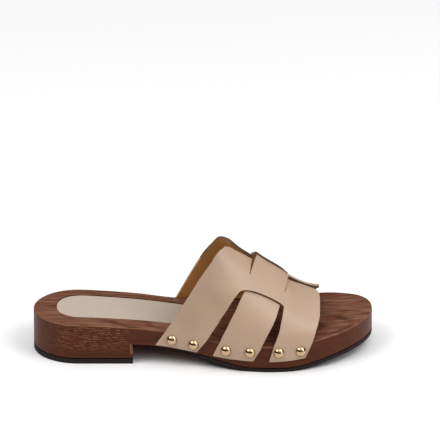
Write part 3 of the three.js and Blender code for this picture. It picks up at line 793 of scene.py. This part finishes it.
def cut_away(thing, cutter):
    """Takes the cutter's space out of a piece, and the cutter out of the scene."""
    cut = thing.modifiers.new("recess", "BOOLEAN")
    cut.operation = "DIFFERENCE"
    cut.solver = "EXACT"
    cut.object = cutter
    ready = thing.evaluated_get(bpy.context.evaluated_depsgraph_get())
    mesh = bpy.data.meshes.new_from_object(ready)
    thing.modifiers.remove(cut)
    old = thing.data
    thing.data = mesh
    mesh.name = thing.name
    bpy.data.meshes.remove(old)
    bpy.data.objects.remove(cutter)


def slab(outline, stations, top, under):
    """Plate over a closed outline, cut across so that both its faces follow a side view."""
    shape = bmesh.new()
    face = shape.faces.new([shape.verts.new((x, y, 0)) for x, y in outline])
    raised = bmesh.ops.extrude_face_region(shape, geom=[face])
    upper = [v for v in raised["geom"] if isinstance(v, bmesh.types.BMVert)]
    bmesh.ops.translate(shape, verts=upper, vec=(0, 0, LENGTH))
    for x in stations:
        every = [*shape.verts, *shape.edges, *shape.faces]
        bmesh.ops.bisect_plane(
            shape, geom=every, dist=NEAR, plane_co=(x, 0, 0), plane_no=(1, 0, 0)
        )
    for vert in shape.verts:
        vert.co.z = top(vert.co.x) if vert.co.z > LENGTH / 2 else under(vert.co.x)
    return shape


def sole_stations(low=-math.inf, high=math.inf):
    """Places along the sole, closer together in the round of the heel and of the toe."""
    heel_end = HEEL_ROUND - LENGTH / 2
    heel = steps(-LENGTH / 2, heel_end, 26, lambda t: 1 - math.cos(math.pi / 2 * t))
    waist = steps(heel[-1], BREAST_X, 14)
    ball = steps(BREAST_X, station_of(FRONT[LATERAL][0]), 36)
    toe = steps(ball[-1], LENGTH / 2, 44, lambda t: math.sin(math.pi / 2 * t))
    every = heel + waist[1:] + ball[1:] + toe[1:]
    first, last = max(low, every[0]), min(high, every[-1])
    held = [x for x in every if low + MM < x < high - MM and first < x < last]
    return [first, *held, last]


def sole_outline(low=-math.inf, high=math.inf):
    """The sole's edge in plan between two stations, counterclockwise."""

    def row(side):
        return [(x, edge_of_sole(x, side) + MIDDLE_Y) for x in sole_stations(low, high)]

    medial = row(MEDIAL)
    closed_back = low <= -LENGTH / 2
    closed_front = high >= LENGTH / 2
    medial = medial[closed_back : len(medial) - closed_front]
    return row(LATERAL) + medial[::-1]


def sock_outline(margin):
    start = SOCK_HEEL_MARGIN - LENGTH / 2 - margin
    end = start + SOCK_LENGTH + 2 * margin
    round_end = SOCK_WIDTH / 2 + margin

    def half(x):
        share = mix(1, SOCK_FRONT_SHARE, (x - start) / (end - start))
        width = share * SOCK_WIDTH / 2 + margin
        reach = max(0.0, (start + round_end - x) / round_end, (x - end + round_end) / round_end)
        power = SOCK_HEEL_POWER if x < start + round_end else SOCK_FRONT_POWER
        return width * (1 - min(1.0, reach) ** power) ** (1 / power)

    def centre(x):
        shift = mix(SOCK_SHIFT_AT_HEEL, SOCK_SHIFT_AT_FRONT, (x - start) / (end - start))
        return MIDDLE_Y + SOCK_WIDTH * shift

    ends = steps(0, round_end, 16, lambda t: 1 - math.cos(math.pi / 2 * t))
    stations = [start + d for d in ends]
    stations += steps(start + round_end, end - round_end, 12)[1:-1]
    stations += [end - d for d in reversed(ends)]
    lateral = [(x, centre(x) - half(x)) for x in stations]
    medial = [(x, centre(x) + half(x)) for x in stations[1:-1]]
    return lateral + medial[::-1]


def sock_slab(margin, top, under):
    """Plate in the shape of the sock, between two distances from the seat."""
    return slab(
        sock_outline(margin),
        steps(-LENGTH / 2, 20 * MM, 48)[1:-1],
        lambda x: seat_height(x) + top,
        lambda x: seat_height(x) + under,
    )


def wood_shape():
    """The sole with its heel drawn down to the lift."""
    shape = slab(sole_outline(), sole_stations()[1:-1], seat_height, wood_underside)
    bmesh.ops.recalc_face_normals(shape, faces=shape.faces)
    shape.normal_update()
    heel = [
        f for f in shape.faces if f.normal.z < -0.5 and f.calc_center_median().x < BREAST_X
    ]
    lowered = bmesh.ops.extrude_face_region(shape, geom=heel)
    for vert in lowered["geom"]:
        if isinstance(vert, bmesh.types.BMVert):
            vert.co.z = LIFT_HIGH.z + CLEARANCE
    bmesh.ops.recalc_face_normals(shape, faces=shape.faces)
    return shape


# The leather's outer faces, by the colour of the cut edge beside them, one edge in a lit and a
# shaded copy: pale as a painted highlight, dark as painted shade. The materials of lining and cut
# edge follow these two in the same order
LIT_EDGE, SHADED_EDGE = 0, 1


def cloth_patch(shape, rows, columns, spot, edging=LIT_EDGE):
    """Grid of cells whose corners are laid over the last, wound so that it faces out."""
    across, up = len(columns) - 1, len(rows) - 1
    grid = bmesh.ops.create_grid(shape, x_segments=across, y_segments=up, size=1)
    for vert in grid["verts"]:
        for face in vert.link_faces:
            face.material_index = edging
        column = columns[round((vert.co.x + 1) / 2 * across)]
        row = rows[round((vert.co.y + 1) / 2 * up)]
        x, girth, distance = spot(row, column)
        vert.co = over_last(x, girth, distance - crease(x, girth))


def turned(side, columns):
    """Columns in the order that makes a patch on this side face out."""
    return columns if side == LATERAL else columns[::-1]


def keyhole_level(across):
    drop = math.sqrt(max(0.0, 1 - (2 * across - 1) ** 2))
    return mix(KEYHOLE_CORNER, KEYHOLE_CROWN, drop)


def ear_height(side, level, inward):
    """Height of a band over the last, in leather thicknesses: the middle's below the slits."""
    column = "middle" if SLIT_END <= level <= KEYHOLE_CORNER else "ear"
    return HEIGHTS[side][column](level) * ease(inward, 0.3, 1)


def crossing_spot(piece, girth, across, leather):
    """Place on the middle of a piece, between its slits."""
    level = abs(girth)
    cuts = CUTS[LATERAL if girth < 0 else MEDIAL]
    x = station_of(mix(cuts["slit_back"](level), cuts["slit_front"](level), across))
    rise = HEIGHTS[piece]["middle"](level) - 1
    height = 1 + rise * MIDDLE_FALL(across)
    return x, girth, (1 + height) * leather


def band_spread(t):
    """Columns closer together at both cut edges of a band."""
    return 0.5 - 0.5 * math.cos(math.pi * t) * (1 - 0.35 * math.sin(math.pi * t) ** 2)


def strap_piece(side, leather):
    """One cut piece of the upper: two legs with their ears, and the middle between its slits."""
    shape = bmesh.new()
    cuts = CUTS[side]
    leg_rows = steps(2, 1, 7) + steps(1, KEYHOLE_CORNER, 22)[1:]
    ear_rows = steps(0, 1, 34)
    band_columns = steps(0, 1, 24, band_spread)
    hole_columns = steps(0, 1, 34, lambda t: (1 - math.cos(math.pi * t)) / 2)

    for which, back, front in (("rear", "back", "slit_back"), ("fore", "slit_front", "front")):

        def spot(level, across, which=which, back=back, front=front):
            inward = across if which == "rear" else 1 - across
            gap = SLIT_GAP * ease(inward, 0.8, 1) * ease(SLIT_END - level, 0, 0.02)
            x = station_of(mix(cuts[back](level), cuts[front](level), across))
            x += -gap if which == "rear" else gap
            return x, side * level, (1 + ear_height(side, level, inward)) * leather

        def ear(t, across, which=which, spot=spot):
            return spot(mix(KEYHOLE_CORNER, EAR_TOPS[side][which](across), t), across)

        cloth_patch(shape, leg_rows, turned(side, band_columns), spot)
        cloth_patch(shape, ear_rows, turned(side, band_columns), ear, SHADED_EDGE)

    top = SLIT_TOP if side == LATERAL else SLOT_LEVEL

    def bridge(t, across):
        level = mix(keyhole_level(across), top, t)
        return crossing_spot(side, side * level, across, leather)

    cloth_patch(shape, ear_rows, turned(side, hole_columns), bridge, SHADED_EDGE)
    if side == LATERAL:

        def tongue(girth, across):
            x, girth, _ = crossing_spot(LATERAL, girth, across, leather)
            height = 1 + (TONGUE_UNDER(girth) - 1) * MIDDLE_FALL(across)
            return x, girth, (1 + height) * leather

        rows = steps(-SLIT_TOP, TONGUE_REACH, 24)
        cloth_patch(shape, rows, hole_columns, tongue, SHADED_EDGE)
    bmesh.ops.remove_doubles(shape, verts=shape.verts, dist=WELD)
    return shape


def middle_leg(side, leather):
    """The leg that comes out under the keyhole."""
    shape = bmesh.new()

    def spot(level, across):
        x = station_of(mix(MIDDLE_LEG["back"](level), MIDDLE_LEG["front"](level), across))
        return x, side * level, leather

    rows = steps(2, 1, 7) + steps(1, MIDDLE_LEG_TOP, 26)[1:]
    cloth_patch(shape, rows, turned(side, steps(0, 1, 24)), spot)
    return shape


def nail_head(place, outward, leather):
    """Domed head with a short straight rim, seated on the leather."""
    shape = bmesh.new()
    radius = STUD_DIAMETER / 2
    rise = STUD_HEIGHT - STUD_RIM
    ball = (radius**2 + rise**2) / (2 * rise)
    bmesh.ops.create_uvsphere(shape, u_segments=40, v_segments=36, radius=ball)
    bmesh.ops.translate(shape, verts=shape.verts, vec=(0, 0, rise - ball))
    every = [*shape.verts, *shape.edges, *shape.faces]
    cut = bmesh.ops.bisect_plane(
        shape, geom=every, dist=NEAR, plane_co=(0, 0, 0), plane_no=(0, 0, -1), clear_outer=True
    )
    edges = [e for e in cut["geom_cut"] if isinstance(e, bmesh.types.BMEdge)]
    skirt = bmesh.ops.extrude_edge_only(shape, edges=edges)["geom"]
    low = [v for v in skirt if isinstance(v, bmesh.types.BMVert)]
    bmesh.ops.translate(shape, verts=low, vec=(0, 0, -STUD_SKIRT))
    rim = [e for e in skirt if isinstance(e, bmesh.types.BMEdge)]
    bmesh.ops.contextual_create(shape, geom=rim)
    turn = outward.to_track_quat("Z", "Y").to_matrix().to_4x4()
    seat = place + outward * (CLEARANCE + leather + STUD_LIFT)
    bmesh.ops.transform(shape, matrix=Matrix.Translation(seat) @ turn, verts=shape.verts)
    return shape


# What a user may change


def colour(name, description, default):
    return FloatVectorProperty(
        name=name, description=description, subtype="COLOR", size=4, default=default
    )


def measure(name, description, default, **limits):
    return FloatProperty(
        name=name,
        description=description,
        subtype="DISTANCE",
        unit="LENGTH",
        default=default,
        **limits,
    )


def power(name, description, default):
    return FloatProperty(
        name=name, description=description, subtype="POWER", unit="POWER", default=default, min=0
    )


class SandalSole(bpy.types.PropertyGroup):
    """Wood, rubber and sock."""

    # The dark grain colour also paints the wood's sides darker, as painted shade.
    wood_dark_and_shade: colour("Wood, dark grain", "Colour of the darkest grain", paint("331404"))
    wood_middle: colour("Wood", "Main colour of the stained wood", paint("612D0E"))
    # The light grain colour shows only on the wood's top, greyed there as painted sheen.
    wood_light_and_sheen: colour("Wood, light grain", "Colour of the lightest grain", paint("805C4A"))
    # The fleck colour also paints the highlight along the wood's upper edges.
    wood_fleck_and_highlight: colour(
        "Wood, flecks", "Colour of the pale flecks and of the rubbed edges", paint("A97B54")
    )
    rubber_colour: colour("Rubber", "Colour of the lift and the outsole", paint("1A1310"))
    sock_colour: colour("Sock", "Colour of the leather sock", paint("B8A899"))
    # Colour of the painted shade that the straps cast on the sock.
    sock_in_shadow: colour(
        "Sock, trodden", "Colour of the sock under the ball of the foot", paint("9E907C")
    )
    ring_pitch: measure(
        "Ring pitch", "Distance between the wood's yearly rings", 2.4 * MM, min=0.5 * MM
    )
    fleck_pitch: measure(
        "Fleck pitch",
        "Distance between the rows of pale flecks on the heel's sides",
        1.8 * MM,
        min=0.5 * MM,
    )
    heart_y: measure(
        "Heart, across", "Place of the heart of the tree across the shoe", -14 * MM
    )
    heart_z: measure(
        "Heart, height", "Height of the heart of the tree, below the floor", -62 * MM
    )
    edge_radius: measure("Edge radius", "Rounding of the wood's edges", 1.1 * MM, min=0)
    tread_pitch: measure("Tread pitch", "Distance between the outsole's ribs", 5 * MM, min=MM)


class SandalUpper(bpy.types.PropertyGroup):
    """Leather straps and nails."""

    leather_thickness: measure(
        "Leather thickness", "Thickness of the straps", 2 * MM, min=0.5 * MM
    )
    leather_colour: colour("Leather", "Colour of the straps' outer face", paint("AD917A"))
    lining_colour: colour("Lining", "Colour of the straps' inner face", paint("CE9450"))
    # Cut edges along the legs, coloured pale as a painted highlight.
    pale_edge_colour: colour(
        "Cut edge", "Colour of the cut edges along the legs", paint("CDB094")
    )
    # Cut edges at the ears, keyholes and crossing, coloured dark as painted shade.
    dark_edge_colour: colour(
        "Shaded edge",
        "Colour of the cut edges at the ears, the keyholes and the crossing",
        paint("573820"),
    )
    gold_colour: colour("Nails", "Colour of the nail heads", paint("C4A584"))


class SandalStage(bpy.types.PropertyGroup):
    """Floor, lights and camera."""

    floor_colour: colour("Floor", "Colour of the floor", [0.96, 0.96, 0.96, 1.0])
    sky_strength: FloatProperty(
        name="Surrounding light",
        description="Strength of the light from all round",
        default=1.1,
        min=0,
    )
    key_power: power("Main lights", "Power of each of the two large lights above", 9)
    fill_power: power("Side light", "Power of the light beside the toe", 7)
    distance: measure("Camera distance", "Distance of the camera", 5, min=1)
    elevation: FloatProperty(
        name="Camera elevation",
        description="Angle of the camera above the floor",
        subtype="ANGLE",
        unit="ROTATION",
        default=math.radians(24.5),
    )
    picture_width: measure(
        "Picture width", "Width that the picture takes in", 329.3 * MM, min=0.1
    )


# Builders


def place_piece(piece, slot, *nodes):
    """Sets a piece on the shoe's one body, in the place of the solids that it shows."""
    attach(piece, "root")
    for node in nodes:
        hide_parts(node)


class SANDAL_OT_sole(bpy.types.Operator):
    """Make the wooden sole with its sock recess, the heel lift and the outsole"""

    bl_idname = "sandal.sole"
    bl_label = "Sole"

    def execute(self, context):
        settings = context.scene.sandal_sole
        shape = wood_shape()
        round_rim(shape, settings.edge_radius)
        wood = show("wooden_sole", shape, wood_look(settings))
        depth = SOCK_SINK + SOCK_THICKNESS + CLEARANCE
        cut_away(wood, show("recess_cutter", sock_slab(CLEARANCE, depth, -depth)))
        steady_faces(wood)
        lift = slab(
            sole_outline(high=BREAST_X),
            sole_stations(high=BREAST_X)[1:-1],
            lambda x: LIFT_HIGH.z,
            lambda x: LIFT_LOW.z,
        )
        lift = show("rubber_lift", lift, rubber_look(settings, "lift rubber", False))
        round_edges(lift, RUBBER_EDGE)
        tread = slab(
            sole_outline(low=TREAD_LOW.x),
            sole_stations(low=TREAD_LOW.x)[1:-1],
            lambda x: wood_underside(x) - CLEARANCE,
            tread_underside,
        )
        tread = show("rubber_outsole", tread, rubber_look(settings, "outsole rubber", True))
        round_edges(tread, RUBBER_EDGE)
        place_piece(wood, "wood", "sole_wood")
        place_piece(lift, "rubber", "heel_lift")
        place_piece(tread, "rubber", "outsole")
        return {"FINISHED"}


class SANDAL_OT_sock(bpy.types.Operator):
    """Make the leather sock that lies in the wood"""

    bl_idname = "sandal.sock"
    bl_label = "Sock"

    def execute(self, context):
        shape = sock_slab(0, -SOCK_SINK, -SOCK_SINK - SOCK_THICKNESS)
        sock = show("leather_sock", shape, sock_look(context.scene.sandal_sole))
        round_edges(sock, SOCK_EDGE)
        place_piece(sock, "sock", "insole_sock")
        return {"FINISHED"}


class SANDAL_OT_straps(bpy.types.Operator):
    """Make the two interlaced pieces of the upper and their middle legs"""

    bl_idname = "sandal.straps"
    bl_label = "Straps"

    def execute(self, context):
        settings = context.scene.sandal_upper
        leather = settings.leather_thickness
        outside, lining, pale, dark = (
            leather_look(name, getattr(settings, colour_name), *finish)
            for name, colour_name, *finish in LEATHERS
        )
        # The last two looks colour the cut edges: pale as a painted highlight, dark as painted
        # shade.
        looks = (outside, outside, lining, lining, pale, dark)
        pieces = (
            ("outer_straps", strap_piece(LATERAL, leather), ["upper"]),
            ("inner_straps", strap_piece(MEDIAL, leather), []),
            ("outer_middle_leg", middle_leg(LATERAL, leather), []),
            ("inner_middle_leg", middle_leg(MEDIAL, leather), []),
        )
        for name, shape, nodes in pieces:
            strap = keep(name, shape, *looks)
            wall = strap.modifiers.new("leather wall", "SOLIDIFY")
            wall.thickness = leather
            wall.offset = -1
            wall.use_even_offset = True
            wall.use_quality_normals = True
            wall.material_offset = looks.index(lining)
            wall.material_offset_rim = looks.index(pale)
            round_edges(strap, LEATHER_EDGE, 2, 50)
            place_piece(strap, "leather", *nodes)
        return {"FINISHED"}


class SANDAL_OT_nails(bpy.types.Operator):
    """Make the domed nail heads, two in each leg"""

    bl_idname = "sandal.nails"
    bl_label = "Nails"

    def execute(self, context):
        settings = context.scene.sandal_upper
        look = gold_look(settings)
        for side, column in ((LATERAL, 0), (MEDIAL, 1)):
            for number, row in enumerate(STUDS, 1):
                x = station_of(row[column])
                run = 0.5 * MM
                slope = (edge_of_sole(x + run, side) - edge_of_sole(x - run, side)) / (2 * run)
                outward = Vector((-side * slope, side, 0)).normalized()
                y = edge_of_sole(x, side) + MIDDLE_Y
                place = Vector((x, y, seat_height(x) - row[2] * STUD_DROP))
                head = nail_head(place, outward, settings.leather_thickness)
                nail = show(f"nail_{SIDES[side]}_{number}", head, look)
                place_piece(nail, "stud", f"stud_{SIDES[side]}_{number}")
        return {"FINISHED"}


class SANDAL_OT_stage(bpy.types.Operator):
    """Make the floor, the lights and the camera"""

    bl_idname = "sandal.stage"
    bl_label = "Stage"

    def execute(self, context):
        settings = context.scene.sandal_stage
        ground = bmesh.new()
        bmesh.ops.create_grid(ground, x_segments=1, y_segments=1, size=FLOOR_REACH)
        floor = show("floor", ground, floor_look(settings))
        self.surround(context.scene, settings)
        for name, place, size, setting in LAMPS:
            self.lamp(name, place, size, getattr(settings, setting))
        self.camera(context.scene, settings)
        context.scene.view_settings.view_transform = "Standard"
        return {"FINISHED"}

    def surround(self, scene, settings):
        """A studio: bright above, dim along the walls, pale where the camera looks past it."""
        world = bpy.data.worlds.new("studio")
        world.use_nodes = True
        tree = world.node_tree
        sky = tree.nodes["Background"]
        place = tree.nodes.new("ShaderNodeTexCoord")
        split = tree.nodes.new("ShaderNodeSeparateXYZ")
        walls = tree.nodes.new("ShaderNodeValToRGB")
        walls.color_ramp.interpolation = "EASE"
        walls.color_ramp.elements.new(0.5)
        for element, (position, level) in zip(walls.color_ramp.elements, STUDIO_WALLS):
            element.position, element.color = position, (level, level, level, 1.0)
        rays = tree.nodes.new("ShaderNodeLightPath")
        backdrop = tree.nodes.new("ShaderNodeMix")
        backdrop.data_type = "RGBA"
        backdrop.inputs[7].default_value = BACKDROP
        tree.links.new(place.outputs["Generated"], split.inputs[0])
        tree.links.new(split.outputs["Z"], walls.inputs[0])
        tree.links.new(walls.outputs[0], backdrop.inputs[6])
        tree.links.new(rays.outputs["Is Camera Ray"], backdrop.inputs[0])
        tree.links.new(backdrop.outputs[2], sky.inputs["Color"])
        sky.inputs["Strength"].default_value = settings.sky_strength
        scene.world = world

    def lamp(self, name, place, size, power):
        light = bpy.data.lights.new(name, "AREA")
        light.shape = "DISK"
        light.size = size
        light.energy = power
        holder = bpy.data.objects.new(name, light)
        holder.location = place
        holder.rotation_euler = (LIGHTS_AIM - Vector(place)).to_track_quat("-Z", "Y").to_euler()
        bpy.context.scene.collection.objects.link(holder)

    def camera(self, scene, settings):
        """A long lens beside the shoe, looking down on its outer side."""
        camera = bpy.data.cameras.new("camera")
        camera.sensor_width = SENSOR
        camera.lens = SENSOR * settings.distance / settings.picture_width
        camera.clip_end = 4 * settings.distance
        holder = bpy.data.objects.new("camera", camera)
        scene.collection.objects.link(holder)
        back = Vector((0, -math.cos(settings.elevation), math.sin(settings.elevation)))
        holder.location = CAMERA_TARGET + back * settings.distance
        holder.rotation_euler = (-back).to_track_quat("-Z", "Y").to_euler()
        scene.camera = holder


class SANDAL_PT_builders(bpy.types.Panel):
    """Lists the builders and what a user may change"""

    bl_label = "Wooden slide sandal"
    bl_idname = "SANDAL_PT_builders"
    bl_space_type = "VIEW_3D"
    bl_region_type = "UI"
    bl_category = "Sandal"

    def draw(self, context):
        for builder in BUILDERS:
            self.layout.operator(builder.bl_idname)
        for name, kind in GROUPS.items():
            for setting in kind.__annotations__:
                self.layout.prop(getattr(context.scene, name), setting)


BUILDERS = (SANDAL_OT_sole, SANDAL_OT_sock, SANDAL_OT_straps, SANDAL_OT_nails, SANDAL_OT_stage)
GROUPS = {"sandal_sole": SandalSole, "sandal_upper": SandalUpper, "sandal_stage": SandalStage}


def register():
    for kind in (*GROUPS.values(), *BUILDERS, SANDAL_PT_builders):
        bpy.utils.register_class(kind)
    for name, kind in GROUPS.items():
        setattr(bpy.types.Scene, name, PointerProperty(type=kind))


def unregister():
    for name in GROUPS:
        delattr(bpy.types.Scene, name)
    for kind in (SANDAL_PT_builders, *reversed(BUILDERS), *reversed(GROUPS.values())):
        bpy.utils.unregister_class(kind)


def main():
    register()
    bpy.ops.sandal.sole()
    bpy.ops.sandal.sock()
    bpy.ops.sandal.straps()
    bpy.ops.sandal.nails()
    bpy.ops.sandal.stage()


if __name__ == "__main__":
    main()
